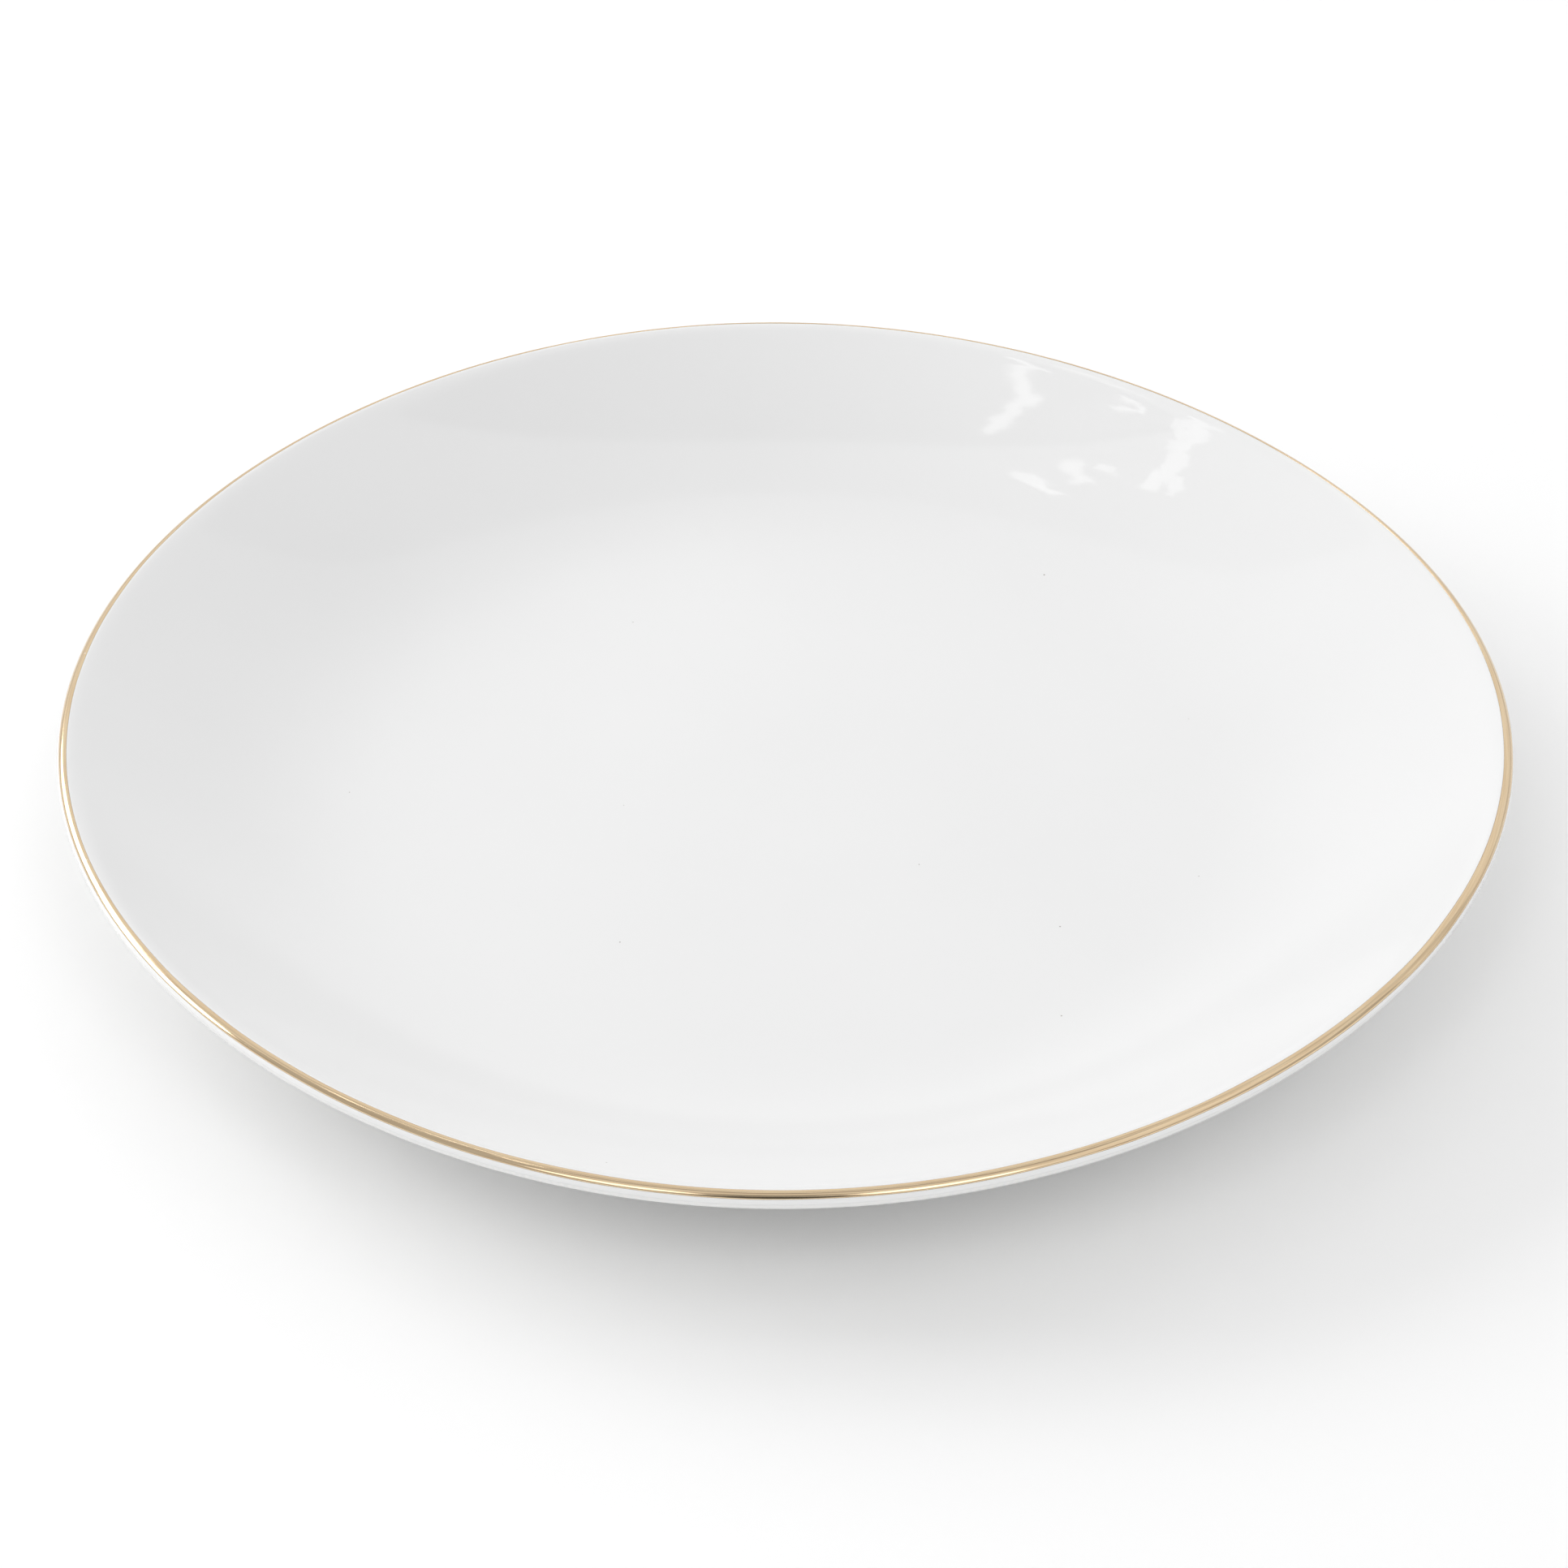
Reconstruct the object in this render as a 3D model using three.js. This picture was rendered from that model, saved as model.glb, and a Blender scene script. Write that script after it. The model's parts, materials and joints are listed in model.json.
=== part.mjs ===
// A china dinner plate of the coupe shape: a flat well that sweeps up into a plain curved wall,
// a round lip with a line of gold on its crest, and a low foot ring underneath.
// Millimetres, +Z up. The origin is the centre of the plane that the plate stands on.
import * as THREE from "three";

// Driving dimensions
const plateDiameter = 270; // across the widest line of the lip
const plateHeight = 27; // from the table to the crest of the glazed lip
const lipRadius = 1.75; // the lip is a full round of this radius
const wellRadius = 80; // the flat centre of the plate
const bendEndRadius = 106; // where the tight bend out of the well gives way to the gentler wall
const bendEndSlope = 24; // degrees from level at the end of the bend
const lipSlope = 32; // degrees from level where the wall meets the lip
const wellThickness = 4.4; // glazed thickness of the centre; the wall thins from here to the lip
const glazeThickness = 0.25;

const footRadius = 76; // centre line of the foot ring
const footBaseWidth = 3.2; // the flat ground ring that stands on the table
const footTopWidth = 5.6; // where the foot joins the underside, before glazing
const footBevelWidth = 0.4; // bare bevel on both edges of the foot
const footBevelHeight = 0.5;
const footFilletRadius = 0.8; // the glaze rounds the corner between the foot and the underside

const giltThickness = 0.08;
const giltInnerAngle = 98; // degrees round the lip from its widest line: 90 is the crest
const giltOuterAngle = 38;

const segmentsAround = 60;
const stepsPerBend = 3; // chords along the bend, and again along the wall
const stepsPerGilt = 3;

// Derived dimensions
const slopeSine = (slope) => Math.sin(THREE.MathUtils.degToRad(slope));
const slopeCosine = (slope) => Math.cos(THREE.MathUtils.degToRad(slope));

const wallEndRadius = plateDiameter / 2 - lipRadius * (1 + slopeSine(lipSlope));
const bendArcRadius = (bendEndRadius - wellRadius) / slopeSine(bendEndSlope);
const wallArcRadius = (wallEndRadius - bendEndRadius) / (slopeSine(lipSlope) - slopeSine(bendEndSlope));
const bendRise = bendArcRadius * (1 - slopeCosine(bendEndSlope));
const wallRise = wallArcRadius * (slopeCosine(bendEndSlope) - slopeCosine(lipSlope));
const lipRise = lipRadius * (1 - slopeCosine(lipSlope));

const wellHeight = plateHeight - bendRise - wallRise - lipRise; // the eating surface above the table
const underHeight = wellHeight - wellThickness; // the glazed underside above the table
const bareUnderHeight = underHeight + glazeThickness; // the same before glazing

const lipOuterAngle = lipSlope - 90; // round the lip: where the lip meets the outside of the wall
const lipInnerAngle = lipSlope + 90; // and where it meets the eating surface

// Points are THREE.Vector2: x is the distance from the plate's axis and y is the height.
function polar(centre, radius, angle) {
  return new THREE.Vector2(centre.x + radius * slopeCosine(angle), centre.y + radius * slopeSine(angle));
}

function arc(centre, radius, fromAngle, toAngle, steps) {
  const points = [];
  for (let i = 0; i <= steps; i++) {
    points.push(polar(centre, radius, fromAngle + ((toAngle - fromAngle) * i) / steps));
  }
  return points;
}

const bendCentre = new THREE.Vector2(wellRadius, wellHeight + bendArcRadius);
const bendEnd = polar(bendCentre, bendArcRadius, bendEndSlope - 90);
const wallCentre = polar(bendEnd, wallArcRadius, bendEndSlope + 90);

// The point at a depth below the eating surface, square to it, where its slope is the given angle.
function pointUnderFace(slope, depth) {
  const inBend = slope <= bendEndSlope;
  const centre = inBend ? bendCentre : wallCentre;
  const radius = inBend ? bendArcRadius : wallArcRadius;
  return polar(centre, radius + depth, slope - 90);
}

function thicknessAt(slope) {
  const alongWall = (pointUnderFace(slope, 0).x - wellRadius) / (wallEndRadius - wellRadius);
  return THREE.MathUtils.lerp(wellThickness, 2 * lipRadius, alongWall);
}

// Slopes of the stations from the edge of the flat well to the start of the lip.
const slopes = [];
for (let i = 0; i <= stepsPerBend; i++) {
  slopes.push((bendEndSlope * i) / stepsPerBend);
}
for (let i = 1; i <= stepsPerBend; i++) {
  slopes.push(bendEndSlope + ((lipSlope - bendEndSlope) * i) / stepsPerBend);
}

const glazedFace = slopes.map((slope) => pointUnderFace(slope, 0));
const bareFace = slopes.map((slope) => pointUnderFace(slope, glazeThickness));
const bareBack = slopes.map((slope) => pointUnderFace(slope, thicknessAt(slope) - glazeThickness));
const glazedBack = slopes.map((slope) => pointUnderFace(slope, thicknessAt(slope)));
const lipCentre = pointUnderFace(lipSlope, lipRadius);

// The lip from the end of the eating surface to its widest line, with stations where the gilding ends.
function upperLip(radius) {
  return [
    polar(lipCentre, radius, lipInnerAngle),
    ...arc(lipCentre, radius, giltInnerAngle, giltOuterAngle, stepsPerGilt),
    polar(lipCentre, radius, giltOuterAngle / 2),
    polar(lipCentre, radius, 0),
  ];
}

// And from its widest line to the outside of the wall.
function lowerLip(radius) {
  return arc(lipCentre, radius, 0, lipOuterAngle, 2);
}

// One side of the foot: side is 1 outside the ring and -1 inside it. From the underside down.
function bareFootSide(side) {
  return [
    new THREE.Vector2(footRadius + (side * footTopWidth) / 2, bareUnderHeight),
    new THREE.Vector2(footRadius + side * (footBaseWidth / 2 + footBevelWidth), footBevelHeight),
  ];
}

// The glaze over that side, from the underside down: a fillet, then a straight side that thins
// away to nothing at the bare bevel.
function glazedFootSide(side) {
  const [top, bevel] = bareFootSide(side);
  const cornerX = top.x + side * glazeThickness;
  const corner = new THREE.Vector2(cornerX, underHeight);
  const down = bevel.clone().sub(corner).normalize();
  const filletStart = new THREE.Vector2(cornerX + side * footFilletRadius, underHeight);
  const filletEnd = corner.clone().addScaledVector(down, footFilletRadius);
  const fillet = new THREE.QuadraticBezierCurve(filletStart, corner, filletEnd);
  return [...fillet.getPoints(2), bevel];
}

function reversed(points) {
  return [...points].reverse();
}

function onAxis(height) {
  return new THREE.Vector2(0, height);
}

// Leaves out a point that repeats the one before it.
function withoutRepeats(points) {
  return points.filter((point, i) => i === 0 || point.distanceTo(points[i - 1]) > 1e-6);
}

// A named solid of revolution. The profile runs clockwise, with the axis on its left: outwards
// along the top and back along the bottom.
function turned(name, profile, material) {
  const geometry = new THREE.LatheGeometry(withoutRepeats(reversed(profile)), segmentsAround);
  geometry.rotateX(Math.PI / 2);
  const mesh = new THREE.Mesh(geometry, material);
  mesh.name = name;
  return mesh;
}

const bareChina = { color: 0xe9e4d8, roughness: 0.75, metalness: 0 };
const whiteGlaze = { color: 0xf3f2ef, roughness: 0.08, metalness: 0 };
const gold = { color: 0xc9a468, roughness: 0.2, metalness: 1 };

// The fired body under its glaze: well, wall and lip in one.
function chinaBody() {
  const profile = [
    onAxis(wellHeight - glazeThickness),
    ...bareFace,
    ...upperLip(lipRadius - glazeThickness),
    ...lowerLip(lipRadius - glazeThickness),
    ...reversed(bareBack),
    onAxis(bareUnderHeight),
  ];
  return turned("china_body", profile, new THREE.MeshStandardMaterial(bareChina));
}

// The ring that the plate stands on. Its base and bevels are ground and left bare.
function footRing() {
  const [outerTop, outerBevel] = bareFootSide(1);
  const [innerTop, innerBevel] = bareFootSide(-1);
  const profile = [
    innerTop,
    outerTop,
    outerBevel,
    new THREE.Vector2(footRadius + footBaseWidth / 2, 0),
    new THREE.Vector2(footRadius - footBaseWidth / 2, 0),
    innerBevel,
    innerTop,
  ];
  return turned("foot_ring", profile, new THREE.MeshStandardMaterial(bareChina));
}

// Glaze over the eating surface and the upper half of the lip.
function frontGlaze() {
  const profile = [
    onAxis(wellHeight),
    ...glazedFace,
    ...upperLip(lipRadius),
    ...reversed(upperLip(lipRadius - glazeThickness)),
    ...reversed(bareFace),
    onAxis(wellHeight - glazeThickness),
  ];
  return turned("front_glaze", profile, new THREE.MeshStandardMaterial(whiteGlaze));
}

// Glaze under the lip, over the back of the wall and down the outside of the foot.
function backGlaze() {
  const bareSide = [
    ...lowerLip(lipRadius - glazeThickness),
    ...reversed(bareBack),
    ...bareFootSide(1),
  ];
  const glazedSide = [
    ...lowerLip(lipRadius),
    ...reversed(glazedBack),
    ...glazedFootSide(1),
  ];
  const profile = [...reversed(bareSide), ...glazedSide];
  return turned("back_glaze", profile, new THREE.MeshStandardMaterial(whiteGlaze));
}

// Glaze over the underside inside the foot ring.
function footWellGlaze() {
  const profile = [
    onAxis(bareUnderHeight),
    ...bareFootSide(-1),
    ...reversed(glazedFootSide(-1)),
    onAxis(underHeight),
  ];
  return turned("foot_well_glaze", profile, new THREE.MeshStandardMaterial(whiteGlaze));
}

// The line of burnished gold on the crest of the lip.
function giltRimBand() {
  const crest = arc(lipCentre, lipRadius + giltThickness, giltInnerAngle, giltOuterAngle, stepsPerGilt);
  const seat = arc(lipCentre, lipRadius, giltInnerAngle, giltOuterAngle, stepsPerGilt);
  const profile = [seat[0], ...crest, ...reversed(seat)];
  return turned("gilt_rim_band", profile, new THREE.MeshStandardMaterial(gold));
}

const plate = new THREE.Group();
plate.name = "dinner_plate";
plate.add(chinaBody(), footRing(), frontGlaze(), backGlaze(), footWellGlaze(), giltRimBand());

export default plate;
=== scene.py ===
import json
import math

import bmesh
import bpy
import numpy as np
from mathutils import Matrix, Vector


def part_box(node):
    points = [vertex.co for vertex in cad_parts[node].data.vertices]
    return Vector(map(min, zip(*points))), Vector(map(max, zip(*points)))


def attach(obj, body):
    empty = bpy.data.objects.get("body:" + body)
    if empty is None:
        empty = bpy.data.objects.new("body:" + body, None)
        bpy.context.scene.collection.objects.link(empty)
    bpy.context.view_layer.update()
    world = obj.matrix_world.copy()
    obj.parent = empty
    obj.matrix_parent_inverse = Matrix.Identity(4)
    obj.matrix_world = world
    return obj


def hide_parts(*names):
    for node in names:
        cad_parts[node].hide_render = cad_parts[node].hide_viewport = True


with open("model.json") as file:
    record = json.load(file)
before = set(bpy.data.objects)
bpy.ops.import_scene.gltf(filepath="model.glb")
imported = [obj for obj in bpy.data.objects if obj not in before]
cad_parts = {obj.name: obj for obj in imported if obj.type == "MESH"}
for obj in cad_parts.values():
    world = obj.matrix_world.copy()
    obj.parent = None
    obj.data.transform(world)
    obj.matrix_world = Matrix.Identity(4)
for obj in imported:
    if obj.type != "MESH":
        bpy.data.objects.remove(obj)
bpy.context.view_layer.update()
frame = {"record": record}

MM = 0.001

# ---------------------------------------------------------------- sizes that come from the frame

front_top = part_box("front_glaze")[1]
body_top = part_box("china_body")[1]
back_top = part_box("back_glaze")[1]
recess_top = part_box("foot_well_glaze")[1]
foot_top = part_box("foot_ring")[1]
gilt_low, gilt_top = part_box("gilt_rim_band")
mount_at = {mount["name"]: mount["pos_m"] for mount in frame["record"]["mounts"]}

RIM_RADIUS = front_top.x
WELL_HEIGHT = mount_at["well_face"][2]
EQUATOR_HEIGHT = back_top.z  # the widest line of the lip
LIP_RADIUS = front_top.z - EQUATOR_HEIGHT
GLAZE = front_top.x - body_top.x
BARE_UNDER_HEIGHT = recess_top.z
UNDER_HEIGHT = BARE_UNDER_HEIGHT - GLAZE
WELL_THICKNESS = WELL_HEIGHT - UNDER_HEIGHT
GILT = gilt_top.z - front_top.z
GILT_OUTER_ANGLE = math.degrees(math.asin((gilt_low.z - EQUATOR_HEIGHT) / LIP_RADIUS))
FOOT_RADIUS = math.hypot(*mount_at["foot_face"][:2])
FOOT_TOP_HALF_WIDTH = foot_top.x - FOOT_RADIUS

# --------------------------------------------------------- sizes of the curves between those ends

WELL_RADIUS = 80 * MM
BEND_END_RADIUS = 106 * MM
BEND_END_SLOPE = 24  # degrees from level
LIP_SLOPE = 32
LIP_EASE = 12  # degrees by which the wall flattens again just before the lip rolls over
LIP_EASE_LENGTH = 2.6 * MM
CURVE_SOFTNESS = 6 * MM  # how gradually one curve passes into the next
GILT_INNER_ANGLE = 98  # degrees round the lip from its widest line: 90 is the crest
FOOT_BASE_HALF_WIDTH = 1.6 * MM
FOOT_BEVEL_WIDTH = 0.4 * MM
FOOT_BEVEL_HEIGHT = 0.5 * MM
FOOT_FILLET = 0.8 * MM
FOOT_CLEARANCE = 0.3 * MM  # between the foot's fillet and the first point of the back's curve
FILLET_STEPS = 8
GILT_WAVER = 1.5  # degrees that the gold line's edges wander
GILT_BACK_DIP = 11  # degrees by which the line's inner edge was laid lower at the back
GILT_SIDE_SPREAD = 12  # degrees by which the line runs further down at the right than elsewhere
GILT_INNER_INSET = 3  # degrees that the line stays inside the CAD band, at its inner edge
GILT_OUTER_INSET = -4  # degrees by which it runs past the band, at its outer edge
GILT_STEPS = 16  # across the line
GILT_THICKNESS = 0.8 * GILT
GILT_BEAD = 0.2  # how much the line's edges thicken or thin, as a share of its thickness

# A fired plate is never quite true: the floor of the well stands a little high in a ring about
# the middle, and the rim is pulled out of round.
WELL_CREST_RADIUS = 28 * MM
WELL_CREST_RISE = 0.28 * MM
WELL_CREST_INNER_WIDTH = 17 * MM
WELL_CREST_OUTER_WIDTH = 29 * MM
RIM_SHRINKAGE = 0.0107  # a share of the radius, which keeps the whole rim within the true circle
RIM_LOBES = (  # how many, their height as a share of the radius, and the azimuth of one, in degrees
    (1, 0.0016, -157),
    (2, 0.0037, -71),
    (3, 0.0031, -5),
    (4, 0.0066, 1),
)

BARE_CHINA = (0.80, 0.77, 0.70)
GROUND_CHINA = (0.76, 0.73, 0.66)
FACE_WHITE = (0.80, 0.80, 0.80)
BACK_WHITE = (0.79, 0.79, 0.78)
IRON_SPECK = (0.22, 0.19, 0.16)
SHELF_GREY = (0.33, 0.31, 0.29)
TABLE_BROWN = (0.46, 0.36, 0.25)
GOLD_BRIGHT = (0.72, 0.57, 0.38)
GOLD_DEEP = (0.66, 0.50, 0.32)
GOLD_THIN = (0.63, 0.45, 0.34)
GOLD_RUBBED = (0.80, 0.74, 0.66)
GLAZE_IOR = 1.5
FACE_PEEL_DEPTH = 5e-6
BACK_PEEL_DEPTH = 1.5e-6
GRAIN_DEPTH = 60e-6
BRUSH_DEPTH = 5e-6
CUTLERY_MARKS = ((17, 0.5, 45), (76, 0.4, 30), (133, 0.6, 60))  # direction, width and length in mm

SEGMENTS = 288  # round the plate
FACE_STEPS = 72  # along the eating surface, from the axis to the lip
LIP_STEPS = 20  # round each half of the lip
ON_AXIS = 1e-9  # a point no further from the axis than this lies on it


def sine(degrees):
    return math.sin(math.radians(degrees))


def cosine(degrees):
    return math.cos(math.radians(degrees))


# ------------------------------------------------------------------------------------ the section


LIP_CENTRE = np.array([RIM_RADIUS - LIP_RADIUS, EQUATOR_HEIGHT])
LIP_START = LIP_SLOPE - LIP_EASE + 90
FACE_END = LIP_CENTRE + LIP_RADIUS * np.array([cosine(LIP_START), sine(LIP_START)])
BEND_TURN = sine(BEND_END_SLOPE) / (BEND_END_RADIUS - WELL_RADIUS)
WALL_TURN = (sine(LIP_SLOPE) - sine(BEND_END_SLOPE)) / (FACE_END[0] - BEND_END_RADIUS)


def soft_ramp(x):
    """0 well below x = 0 and x well above it, with a gradual start."""
    return 0.5 * (x + np.sqrt(x * x + CURVE_SOFTNESS**2))


def face_slope_sine(radius):
    """The sine of the eating surface's slope: level in the well, a tight bend, then a gentler wall."""
    start = soft_ramp(-WELL_RADIUS)
    bend = soft_ramp(radius - WELL_RADIUS) - start
    wall = soft_ramp(radius - BEND_END_RADIUS)
    ease = np.clip((radius - FACE_END[0]) / LIP_EASE_LENGTH + 1, 0, 1) ** 2
    drop = sine(LIP_SLOPE) - sine(LIP_SLOPE - LIP_EASE)
    return BEND_TURN * bend + (WALL_TURN - BEND_TURN) * wall - drop * ease


def well_unevenness(radius):
    """The low ring that firing leaves in the floor of the well."""
    inside = radius < WELL_CREST_RADIUS
    width = np.where(inside, WELL_CREST_INNER_WIDTH, WELL_CREST_OUTER_WIDTH)
    return WELL_CREST_RISE * np.exp(-(((radius - WELL_CREST_RADIUS) / width) ** 2))


def face_curve():
    """Points and unit normals of the eating surface from the axis to the start of the lip."""
    radii = np.linspace(0, FACE_END[0], 1200)
    sines = np.clip(face_slope_sine(radii), 0, 0.95)
    slope = sines / np.sqrt(1 - sines**2)
    rise = np.concatenate([[0], np.cumsum(0.5 * (slope[1:] + slope[:-1]) * np.diff(radii))])
    scale = (FACE_END[1] - WELL_HEIGHT) / rise[-1]
    heights = WELL_HEIGHT + scale * rise + well_unevenness(radii)
    share = np.linspace(0, 1, FACE_STEPS + 1)
    chosen = FACE_END[0] * (share * 1.35 - 0.35 * share**2)  # closer together towards the lip
    points = np.column_stack([chosen, np.interp(chosen, radii, heights)])
    slopes = np.interp(chosen, radii, np.gradient(heights, radii))
    slopes[0] = 0  # so that the point on the axis stays on it at any depth
    normals = np.column_stack([-slopes, np.ones_like(slopes)])
    return points, normals / np.linalg.norm(normals, axis=1)[:, None]


FACE, FACE_NORMALS = face_curve()


def face_at_depth(depth):
    """The eating surface moved squarely into the china by a depth, which may vary along it."""
    return FACE - FACE_NORMALS * np.reshape(depth, (-1, 1))


along_wall = np.clip((FACE[:, 0] - WELL_RADIUS) / (FACE_END[0] - WELL_RADIUS), 0, 1)
THICKNESS = WELL_THICKNESS + (2 * LIP_RADIUS - WELL_THICKNESS) * along_wall
FOOT_JOIN = FOOT_RADIUS + FOOT_TOP_HALF_WIDTH + GLAZE + FOOT_FILLET


def beyond_foot(points):
    """The part of an underside curve that lies outside the foot."""
    return points[points[:, 0] > FOOT_JOIN + FOOT_CLEARANCE]


def lip_arc(radius, start, end):
    """Points round half of the lip between two angles, 0 being its widest line and 90 its crest."""
    angles = np.radians(np.linspace(start, end, LIP_STEPS + 1))
    return LIP_CENTRE + radius * np.column_stack([np.cos(angles), np.sin(angles)])


def upper_lip(radius):
    return lip_arc(radius, LIP_START, 0)[1:]


def lower_lip(radius):
    return lip_arc(radius, 0, LIP_SLOPE - 90)


def bare_foot_side(side):
    """The foot's unglazed side from the underside down to its bevel.
    side is 1 outside the ring and -1 inside it."""
    return np.array([
        [FOOT_RADIUS + side * FOOT_TOP_HALF_WIDTH, BARE_UNDER_HEIGHT],
        [FOOT_RADIUS + side * (FOOT_BASE_HALF_WIDTH + FOOT_BEVEL_WIDTH), FOOT_BEVEL_HEIGHT],
    ])


def glazed_foot_side(side):
    """The glaze over that side: a fillet under the plate, then a side that thins away at the bevel."""
    top, bevel = bare_foot_side(side)
    corner = np.array([top[0] + side * GLAZE, UNDER_HEIGHT])
    down = (bevel - corner) / np.linalg.norm(bevel - corner)
    start = corner + np.array([side * FOOT_FILLET, 0])
    end = corner + down * FOOT_FILLET
    t = np.linspace(0, 1, FILLET_STEPS + 1)[:, None]
    fillet = (1 - t) ** 2 * start + 2 * t * (1 - t) * corner + t**2 * end
    bead = bevel + np.array([side * 0.35 * GLAZE, 0.25 * GLAZE])  # the glaze ends in a rounded edge
    return np.vstack([fillet, bead, bevel])


def on_axis(height):
    return np.array([[0, height]])


# -------------------------------------------------------------------------------- solids of revolution


def fired(radius, height, azimuth):
    """Where a point of the true section ends up, once firing has pulled the plate out of round."""
    pull = -RIM_SHRINKAGE
    for lobes, size, peak in RIM_LOBES:
        pull += size * math.cos(lobes * (azimuth - math.radians(peak)))
    radius *= 1 + pull * (radius / RIM_RADIUS) ** 2
    return radius * math.cos(azimuth), radius * math.sin(azimuth), height


def lathe(name, section, material, node):
    """A closed solid turned about the axis. section(azimuth) gives its outline in (radius, height),
    with as many points at every azimuth, either from the axis to the axis or closed on itself."""
    mesh = bmesh.new()
    axis_points = {}
    grid = []
    for i in range(SEGMENTS):
        azimuth = 2 * math.pi * i / SEGMENTS
        column = []
        for k, (radius, height) in enumerate(section(azimuth)):
            if radius > ON_AXIS:
                column.append(mesh.verts.new(fired(radius, height, azimuth)))
                continue
            if k not in axis_points:
                axis_points[k] = mesh.verts.new((0, 0, height))
            column.append(axis_points[k])
        grid.append(column)
    count = len(grid[0])
    steps = count - 1 if axis_points else count
    for i in range(SEGMENTS):
        here, there = grid[i], grid[(i + 1) % SEGMENTS]
        for k in range(steps):
            after = (k + 1) % count
            corners = [here[k], here[after], there[after], there[k]]
            face = [v for j, v in enumerate(corners) if v is not corners[j - 1]]
            mesh.faces.new(face).smooth = True
    data = bpy.data.meshes.new(name)
    mesh.to_mesh(data)
    mesh.free()
    piece = bpy.data.objects.new(name, data)
    bpy.context.scene.collection.objects.link(piece)
    data.materials.append(material)
    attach(piece, "root")
    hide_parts(node)


# ------------------------------------------------------------------------------------------ materials


class Graph:
    """Short names for the nodes that the materials and the sky are made of. Each call adds a node and
    gives back its output. Lengths in a pattern are metres, so a scale of 500 repeats about every 2 mm."""

    def __init__(self, tree):
        self.tree = tree

    def add(self, kind, inputs=(), output=0, **settings):
        made = self.tree.nodes.new("ShaderNode" + kind)
        for name, value in settings.items():
            setattr(made, name, value)
        for key, value in dict(inputs).items():
            if isinstance(value, bpy.types.NodeSocket):
                self.tree.links.new(value, made.inputs[key])
            else:
                made.inputs[key].default_value = value
        return made.outputs[output]

    def maths(self, operation, first, second=0.0):
        return self.add("Math", {0: first, 1: second}, operation=operation)

    def ramp(self, value, start, end, low=0.0, high=1.0):
        """From low at start to high at end, with a smooth beginning and end; start may be the larger."""
        values = {"Value": value, "From Min": start, "From Max": end, "To Min": low, "To Max": high}
        return self.add("MapRange", values, interpolation_type="SMOOTHSTEP")

    def mix(self, share, first, second):
        return self.add("Mix", {0: share, 2: first, 3: second}, data_type="FLOAT")

    def mix_colour(self, share, first, second):
        first, second = [c if isinstance(c, bpy.types.NodeSocket) else (*c, 1) for c in (first, second)]
        return self.add("Mix", {0: share, 6: first, 7: second}, output=2, data_type="RGBA")

    def noise(self, place, scale, detail=2.0, roughness=0.5):
        values = {"Vector": place, "Scale": scale, "Detail": detail, "Roughness": roughness}
        return self.add("TexNoise", values)

    def place(self, shift=0.0):
        """Where a point lies on the plate, with the pattern moved so that no two materials share it."""
        at = self.add("TexCoord", output="Object")
        return self.add("VectorMath", {0: at, 1: (shift, 1.7 * shift, 0)}, operation="ADD")

    def radius(self):
        """How far a point lies from the plate's axis."""
        at = self.add("TexCoord", output="Object")
        flat = self.add("VectorMath", {0: at, 1: (1, 1, 0)}, operation="MULTIPLY")
        return self.add("VectorMath", {0: flat}, output="Value", operation="LENGTH")

    def round_the_plate(self, along, across):
        """Coordinates that a pattern can be drawn out in, into streaks that run round the plate."""
        at = self.add("TexCoord", output="Object")
        parts = self.tree.nodes.new("ShaderNodeSeparateXYZ")
        self.tree.links.new(at, parts.inputs[0])
        x = self.maths("MULTIPLY", parts.outputs["X"], along)
        y = self.maths("MULTIPLY", parts.outputs["Y"], along)
        z = self.maths("MULTIPLY", self.radius(), across)
        return self.add("CombineXYZ", {0: x, 1: y, 2: z})

    def specks(self, place, scale, size, share):
        """Small round marks, one in some of the cells of a pattern, never all the same size."""
        cells = {"Vector": place, "Scale": scale}
        distance = self.add("TexVoronoi", cells, "Distance", voronoi_dimensions="2D")
        colour = self.add("TexVoronoi", cells, "Color", voronoi_dimensions="2D")
        parts = self.tree.nodes.new("ShaderNodeSeparateXYZ")
        self.tree.links.new(colour, parts.inputs[0])
        chosen = self.maths("LESS_THAN", parts.outputs["X"], share)
        edge = self.mix(parts.outputs["Y"], 0.4 * size * scale, size * scale)
        inside = self.maths("DIVIDE", distance, edge)
        return self.maths("MULTIPLY", chosen, self.ramp(inside, 1.0, 0.5))

    def scratches(self, place, direction, width, length, amount):
        """Fine straight marks in one direction, in degrees."""
        turned = (0, 0, math.radians(direction))
        stretch = (1 / width, 1 / length, 1)
        drawn_out = self.add("Mapping", {"Vector": place, "Rotation": turned, "Scale": stretch})
        return self.ramp(self.noise(drawn_out, 1.0, 1.0), 0.74 - amount, 0.76)


def new_material(name):
    material = bpy.data.materials.new(name)
    material.use_nodes = True
    tree = material.node_tree
    return material, Graph(tree), tree.nodes["Principled BSDF"]


def finish_material(graph, shader, colour, roughness, height, depth):
    """Links the three patterns to the shader. Depth is what a height of 1 stands for, in metres."""
    graph.tree.links.new(colour, shader.inputs["Base Color"])
    graph.tree.links.new(roughness, shader.inputs["Roughness"])
    normal = graph.add("Bump", {"Height": height, "Distance": depth, "Strength": 1.0})
    graph.tree.links.new(normal, shader.inputs["Normal"])


def shade(colour, factor):
    return tuple(min(1.0, factor * c) for c in colour)


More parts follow.
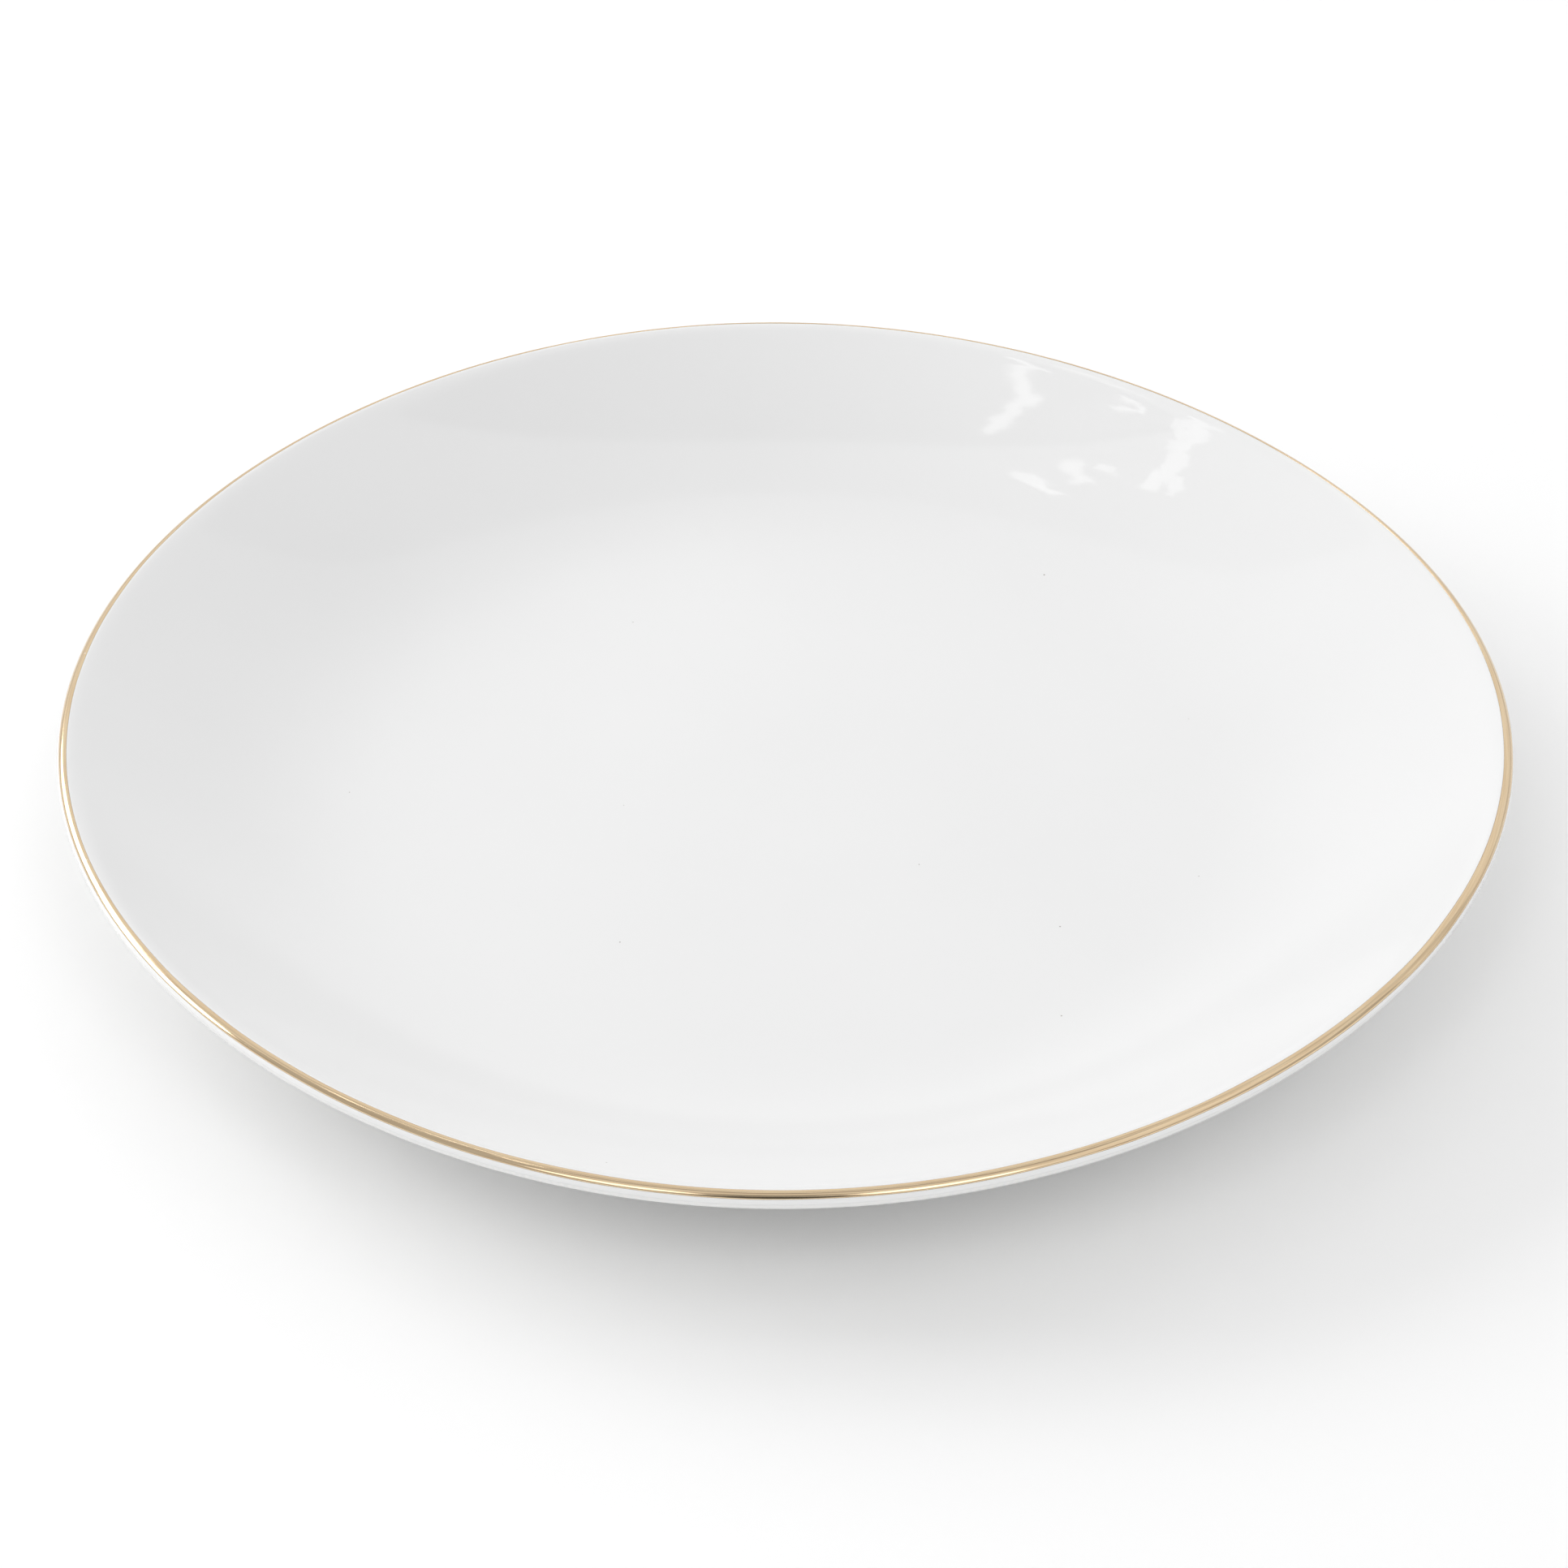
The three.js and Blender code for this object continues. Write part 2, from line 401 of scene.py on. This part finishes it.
def glaze_material(name, colour, shift, used, peel_depth):
    """Glossy white glaze: faint clouds of thicker and thinner glaze, an orange-peel surface that
    crinkles what it reflects, stray iron specks and pinholes, and hair-fine cutlery marks in the
    well, more of them the more used it is."""
    material, graph, shader = new_material(name)
    place = graph.place(shift)
    clouds = graph.noise(place, 16, 3.0)
    tinted = graph.mix_colour(graph.ramp(clouds, 0.3, 0.7), shade(colour, 0.992), shade(colour, 1.006))
    iron = graph.specks(place, 38, 0.24 * MM, 0.10)
    coloured = graph.mix_colour(graph.maths("MULTIPLY", iron, 0.75), tinted, IRON_SPECK)
    pinholes = graph.specks(place, 70, 0.16 * MM, 0.08)
    marks = 0.0
    for direction, width, length in CUTLERY_MARKS:
        strokes = graph.scratches(place, direction, width * MM, length * MM, used)
        marks = graph.maths("MAXIMUM", marks, strokes)
    in_well = graph.ramp(graph.radius(), WELL_RADIUS + 8 * MM, WELL_RADIUS - 25 * MM)
    patches = graph.ramp(graph.noise(place, 30, 1.0), 0.42, 0.62)
    marks = graph.maths("MULTIPLY", graph.maths("MULTIPLY", marks, in_well), patches)
    polish = graph.ramp(graph.noise(place, 24, 4.0), 0.3, 0.7, 0.02, 0.045)
    roughness = graph.maths("ADD", polish, graph.maths("MULTIPLY", marks, 0.10))
    peel = graph.noise(place, 430, 1.0)
    waves = graph.noise(place, 70, 1.0)
    height = graph.mix(0.72, peel, waves)
    height = graph.maths("SUBTRACT", height, graph.maths("MULTIPLY", pinholes, 1.5))
    height = graph.maths("SUBTRACT", height, graph.maths("MULTIPLY", marks, 0.10))
    finish_material(graph, shader, coloured, roughness, height, peel_depth)
    shader.inputs["IOR"].default_value = GLAZE_IOR
    return material


def china_material(name, colour, shift, ground):
    """Unglazed china: matt and finely grained. Where it is ground, it has the wheel's rings and the
    grey and brown rubs of shelves and tables."""
    material, graph, shader = new_material(name)
    place = graph.place(shift)
    grain = graph.noise(place, 2600, 4.0, 0.7)
    clouds = graph.noise(place, 60, 4.0)
    rings = graph.noise(graph.round_the_plate(90, 5200), 1.0, 3.0)
    body = graph.mix_colour(graph.ramp(clouds, 0.3, 0.7), shade(colour, 0.94), shade(colour, 1.04))
    body = graph.mix_colour(graph.ramp(grain, 0.52, 0.75), body, shade(colour, 0.80))
    rubbing = graph.noise(graph.round_the_plate(140, 900), 1.0, 5.0, 0.65)
    rubs = graph.ramp(rubbing, 0.52, 0.68, 0.0, 0.75 * ground)
    body = graph.mix_colour(rubs, body, SHELF_GREY)
    stains = graph.ramp(graph.noise(place, 110, 4.0, 0.6), 0.56, 0.70, 0.0, 0.45 * ground)
    body = graph.mix_colour(stains, body, TABLE_BROWN)
    wear = graph.ramp(rings, 0.35, 0.65, 0.86, 0.86 - 0.22 * ground)
    height = graph.mix(0.35 + 0.35 * ground, grain, rings)
    finish_material(graph, shader, body, wear, height, GRAIN_DEPTH)
    return material


def gold_material():
    """Burnished liquid gold, laid on with a brush round the lip: streaks that run along it, thin
    places where the colour turns, and rubs that dull it."""
    material, graph, shader = new_material("burnished_gold")
    streaks = graph.noise(graph.round_the_plate(70, 3200), 1.0, 3.0, 0.6)
    patches = graph.noise(graph.place(0.3), 55, 4.0, 0.6)
    fine = graph.noise(graph.round_the_plate(420, 9000), 1.0, 2.0)
    colour = graph.mix_colour(graph.ramp(streaks, 0.35, 0.65), GOLD_DEEP, GOLD_BRIGHT)
    colour = graph.mix_colour(graph.ramp(patches, 0.60, 0.80, 0.0, 0.6), colour, GOLD_THIN)
    rubbed = graph.specks(graph.place(0.8), 160, 0.35 * MM, 0.16)
    colour = graph.mix_colour(graph.maths("MULTIPLY", rubbed, 0.7), colour, GOLD_RUBBED)
    satin = graph.ramp(streaks, 0.3, 0.7, 0.06, 0.12)
    dulled = graph.ramp(patches, 0.45, 0.75, 0.0, 0.10)
    roughness = graph.maths("ADD", satin, dulled)
    height = graph.mix(0.4, streaks, fine)
    finish_material(graph, shader, colour, roughness, height, BRUSH_DEPTH)
    shader.inputs["Metallic"].default_value = 1
    return material


# --------------------------------------------------------------------------------------------- pieces

bare = china_material("bare_china", BARE_CHINA, shift=0.11, ground=0.0)
ground = china_material("ground_china", GROUND_CHINA, shift=0.37, ground=1.0)
face_glaze = glaze_material("face_glaze", FACE_WHITE, 0.53, used=0.05, peel_depth=FACE_PEEL_DEPTH)
under_glaze = glaze_material("under_glaze", BACK_WHITE, 0.91, used=0.0, peel_depth=BACK_PEEL_DEPTH)
gold = gold_material()

bare_face = face_at_depth(GLAZE)
bare_back = beyond_foot(face_at_depth(THICKNESS - GLAZE))
glazed_back = beyond_foot(face_at_depth(THICKNESS))


def body_section(_azimuth):
    return np.vstack([
        bare_face,
        upper_lip(LIP_RADIUS - GLAZE),
        lower_lip(LIP_RADIUS - GLAZE)[1:],
        bare_back[::-1][1:],
        on_axis(BARE_UNDER_HEIGHT),
    ])


def foot_section(_azimuth):
    outer_top, outer_bevel = bare_foot_side(1)
    inner_top, inner_bevel = bare_foot_side(-1)
    base_outer = [FOOT_RADIUS + FOOT_BASE_HALF_WIDTH, 0]
    base_inner = [FOOT_RADIUS - FOOT_BASE_HALF_WIDTH, 0]
    return np.array([inner_top, outer_top, outer_bevel, base_outer, base_inner, inner_bevel])


def front_section(_azimuth):
    return np.vstack([
        FACE,
        upper_lip(LIP_RADIUS),
        upper_lip(LIP_RADIUS - GLAZE)[::-1],
        bare_face[::-1],
    ])


def back_section(_azimuth):
    return np.vstack([
        bare_foot_side(1)[::-1],
        bare_back,
        lower_lip(LIP_RADIUS - GLAZE)[::-1][1:],
        lower_lip(LIP_RADIUS),
        glazed_back[::-1][1:],
        glazed_foot_side(1)[:-1],
    ])


def recess_section(_azimuth):
    return np.vstack([
        on_axis(BARE_UNDER_HEIGHT),
        bare_foot_side(-1),
        glazed_foot_side(-1)[::-1][1:],
        on_axis(UNDER_HEIGHT),
    ])


def hand_waver(seed, slowest, fastest):
    """A smooth closed wander of about -1 to 1 round the plate, as an unsteady hand draws a line."""
    chance = np.random.default_rng(seed)
    turns = np.arange(slowest, fastest)
    phases = chance.uniform(0, 2 * math.pi, len(turns))
    weights = chance.uniform(0.4, 1.0, len(turns)) / np.sqrt(len(turns))
    return lambda azimuth: float(np.sum(weights * np.sin(turns * azimuth + phases)))


inner_waver = hand_waver(3, 5, 46)
outer_waver = hand_waver(8, 4, 38)
bead_waver = hand_waver(21, 6, 60)


def gilt_section(azimuth):
    """The gold line, whose edges the brush leaves thicker in some places and thinner in others."""
    behind = max(0.0, math.sin(azimuth))
    rightward = max(0.0, math.cos(azimuth)) ** 2
    inner = GILT_INNER_ANGLE - GILT_INNER_INSET - GILT_BACK_DIP * behind**0.7
    outer = GILT_OUTER_ANGLE + GILT_OUTER_INSET - GILT_SIDE_SPREAD * rightward
    inner += GILT_WAVER * inner_waver(azimuth)
    outer += GILT_WAVER * outer_waver(azimuth)
    angles = np.radians(np.linspace(inner, outer, GILT_STEPS + 1))
    across = np.linspace(-1, 1, GILT_STEPS + 1)
    bead = 1 + GILT_BEAD * bead_waver(azimuth) * across**2
    thickness = GILT_THICKNESS * np.clip(bead, 0.5, 1.2) * np.sqrt(1 - across**6)
    height = LIP_RADIUS + thickness
    outside = LIP_CENTRE + height[:, None] * np.column_stack([np.cos(angles), np.sin(angles)])
    seat = LIP_CENTRE + LIP_RADIUS * np.column_stack([np.cos(angles), np.sin(angles)])
    return np.vstack([outside, seat[::-1][1:-1]])


lathe("plate_body", body_section, bare, "china_body")
lathe("plate_foot_ring", foot_section, ground, "foot_ring")
lathe("plate_front_glaze", front_section, face_glaze, "front_glaze")
lathe("plate_back_glaze", back_section, under_glaze, "back_glaze")
lathe("plate_foot_recess_glaze", recess_section, under_glaze, "foot_well_glaze")
lathe("plate_gilt_line", gilt_section, gold, "gilt_rim_band")

# ---------------------------------------------------------------------------- floor, light and camera

CAMERA_DISTANCE = 0.95
CAMERA_ELEVATION = 36.58
CAMERA_PITCH = 37.334  # degrees below level
CAMERA_LENS = 117.76
SOFT_BOX_DISTANCE = 2.0
FLOOR_HALF_SIZE = 6
FLOOR_LEVEL = -0.02 * MM
FLOOR_WHITE = (0.95, 0.95, 0.95, 1)

# The brightness of the studio in each direction: +x is to the plate's right and +y is behind it.
SKY_BACK = 1.04
SKY_SEAM = 0.40
SKY_MIDDLE = 0.76
SKY_CEILING = 0.98
SKY_CEILING_EDGE = 0.45
SKY_FRONT_LEFT = 0.62
SKY_FRONT_RIGHT = 1.10
SKY_FRONT_LOW = 0.60
HORIZON_BACK = 0.78
HORIZON_FRONT = 1.5
SEAM_AT = 0.143  # the seam between the ceiling and the first back panel, as y on the unit sphere
SEAM_EDGE = 0.003
LAMP_SOFTNESS = 0.7  # as a share of a lamp's radius
RUFFLE = 0.05  # how far the lamps' outlines wander, as a length on the unit sphere
SKY_LOBES = (  # azimuth, elevation, radius, softness, level
    (150, 51, 0.15, 0.06, 2.6),
    (-148, 52, 0.14, 0.06, 2.4),
    (180, 28, 0.12, 0.16, 0.20),
    (180, 66, 0.06, 0.14, 0.30),
    (180, 46, 0.15, 0.07, 0.08),
)
SKY_LAMPS = (  # from, to, steps, radius, level
    ((-0.336, 0.000, 0.96), (-0.338, 0.050, 0.95), 3, 0.012, 3.0),
    ((-0.338, 0.050, 0.95), (-0.272, 0.106, 0.96), 6, 0.009, 3.0),
    ((-0.275, 0.235, 0.94), (-0.282, 0.250, 0.93), 3, 0.012, 2.8),
    ((-0.282, 0.250, 0.93), (-0.293, 0.278, 0.92), 4, 0.008, 3.2),
    ((-0.345, 0.200, 0.92), (-0.345, 0.228, 0.91), 2, 0.012, 2.8),
    ((-0.386, 0.212, 0.90), (-0.386, 0.212, 0.90), 1, 0.009, 2.8),
    ((-0.525, 0.155, 0.85), (-0.422, 0.252, 0.88), 9, 0.010, 2.8),
    ((-0.500, 0.140, 0.86), (-0.448, 0.268, 0.87), 9, 0.008, 2.6),
    ((-0.430, 0.085, 0.90), (-0.465, 0.105, 0.88), 4, 0.006, 2.9),
)


def make_floor():
    """A plain pale sheet, a hair under the foot so that the two faces don't lie in one plane."""
    material, _, shader = new_material("studio_floor")
    shader.inputs["Base Color"].default_value = FLOOR_WHITE
    shader.inputs["Roughness"].default_value = 0.7
    far = FLOOR_HALF_SIZE
    corners = [(x, y, FLOOR_LEVEL) for x, y in ((-far, -far), (far, -far), (far, far), (-far, far))]
    data = bpy.data.meshes.new("studio_floor")
    data.from_pydata(corners, [], [(0, 1, 2, 3)])
    data.materials.append(material)
    floor = bpy.data.objects.new("studio_floor", data)
    bpy.context.scene.collection.objects.link(floor)


def direction_of(azimuth, elevation):
    """A unit vector. Azimuth 0 is behind the plate and 90 to its right, as the camera sees it."""
    flat = cosine(elevation)
    return Vector((flat * sine(azimuth), flat * cosine(azimuth), sine(elevation)))


def make_soft_box(name, azimuth, elevation, width, power):
    """A round soft box that faces the plate, as wide as it looks from there, in degrees."""
    light = bpy.data.lights.new(name, "AREA")
    light.shape = "DISK"
    light.size = 2 * SOFT_BOX_DISTANCE * math.tan(math.radians(width / 2))
    light.energy = power
    lamp = bpy.data.objects.new(name, light)
    toward = direction_of(azimuth, elevation)
    lamp.location = SOFT_BOX_DISTANCE * toward
    lamp.rotation_euler = (-toward).to_track_quat("-Z", "Y").to_euler()
    bpy.context.scene.collection.objects.link(lamp)


def add_lobe(graph, direction, sky, centre, radius, softness, level):
    """Takes the sky to a level within a radius of a direction, both as lengths on the unit sphere."""
    apart = graph.add("VectorMath", {0: direction, 1: centre}, "Value", operation="DISTANCE")
    return graph.mix(graph.ramp(apart, radius + softness, radius), sky, level)


def make_sky():
    """White studio walls and ceiling, with the seam between the panels, the dark of the room in front
    and a few small bare lamps, which the glaze and the gold reflect."""
    world = bpy.data.worlds.new("studio")
    world.use_nodes = True
    bpy.context.scene.world = world
    graph = Graph(world.node_tree)
    direction = graph.add("TexCoord", output="Generated")
    parts = graph.tree.nodes.new("ShaderNodeSeparateXYZ")
    graph.tree.links.new(direction, parts.inputs[0])
    x, y, z = parts.outputs
    left = graph.ramp(x, 0.1, -0.1)
    front = graph.mix(left, SKY_FRONT_RIGHT, SKY_FRONT_LEFT)
    front = graph.mix(graph.ramp(z, 0.62, 0.48), front, SKY_FRONT_LOW)
    ceiling = graph.maths("MULTIPLY", graph.ramp(x, -0.38, -0.30), graph.ramp(x, 0.50, 0.40))
    ceiling = graph.maths("MULTIPLY", ceiling, graph.ramp(y, -0.50, -0.35))
    ceiling = graph.maths("MULTIPLY", ceiling, graph.ramp(z, 0.30, 0.60))
    ceiling_level = graph.ramp(y, 0.15, -0.20, SKY_CEILING_EDGE, SKY_CEILING)
    sky = graph.mix(ceiling, front, ceiling_level)
    middle = graph.ramp(y, SEAM_AT, 0.44, SKY_BACK, SKY_MIDDLE)
    sky = graph.mix(graph.ramp(y, SEAM_AT - SEAM_EDGE, SEAM_AT + SEAM_EDGE), sky, middle)
    from_seam = graph.maths("ABSOLUTE", graph.maths("SUBTRACT", y, SEAM_AT))
    sky = graph.mix(graph.ramp(from_seam, 0.009, 0.004), sky, SKY_SEAM)
    sky = graph.mix(graph.ramp(y, 0.440, 0.448), sky, SKY_BACK)
    for azimuth, elevation, radius, softness, level in SKY_LOBES:
        centre = direction_of(azimuth, elevation)
        sky = add_lobe(graph, direction, sky, centre, radius, softness, level)
    horizon = graph.mix(graph.ramp(y, 0.3, -0.3), HORIZON_BACK, HORIZON_FRONT)
    sky = graph.mix(graph.ramp(z, 0.12, 0.30), horizon, sky)
    ruffle = graph.add("TexNoise", {"Vector": direction, "Scale": 60.0, "Detail": 5.0}, "Color")
    ruffle = graph.add("VectorMath", {0: ruffle, 1: (-0.5, -0.5, -0.5)}, operation="ADD")
    ruffle = graph.add("VectorMath", {0: ruffle, 1: (RUFFLE, RUFFLE, RUFFLE)}, operation="MULTIPLY")
    ruffled = graph.add("VectorMath", {0: direction, 1: ruffle}, operation="ADD")
    for start, end, steps, radius, level in SKY_LAMPS:
        for i in range(steps):
            centre = Vector(start).lerp(Vector(end), i / max(1, steps - 1)).normalized()
            softness = LAMP_SOFTNESS * radius
            sky = add_lobe(graph, ruffled, sky, centre, radius, softness, level)
    background = graph.tree.nodes["Background"]
    background.inputs["Color"].default_value = (1, 1, 1, 1)
    graph.tree.links.new(sky, background.inputs["Strength"])


def make_camera():
    """In front of the plate and above it, at the photograph's angle."""
    camera = bpy.data.cameras.new("camera")
    camera.sensor_width = 36
    camera.lens = CAMERA_LENS
    camera.clip_end = 50
    holder = bpy.data.objects.new("camera", camera)
    forward = -CAMERA_DISTANCE * cosine(CAMERA_ELEVATION)
    above = CAMERA_DISTANCE * sine(CAMERA_ELEVATION)
    holder.location = (0, forward, EQUATOR_HEIGHT + above)
    holder.rotation_euler = (math.radians(90 - CAMERA_PITCH), 0, 0)
    bpy.context.scene.collection.objects.link(holder)
    bpy.context.scene.camera = holder


make_floor()
make_sky()
make_soft_box("side_key", azimuth=-78, elevation=24, width=26, power=9.5)
make_soft_box("back_key", azimuth=-52, elevation=27, width=28, power=7.0)
make_camera()
bpy.context.scene.view_settings.view_transform = "Standard"
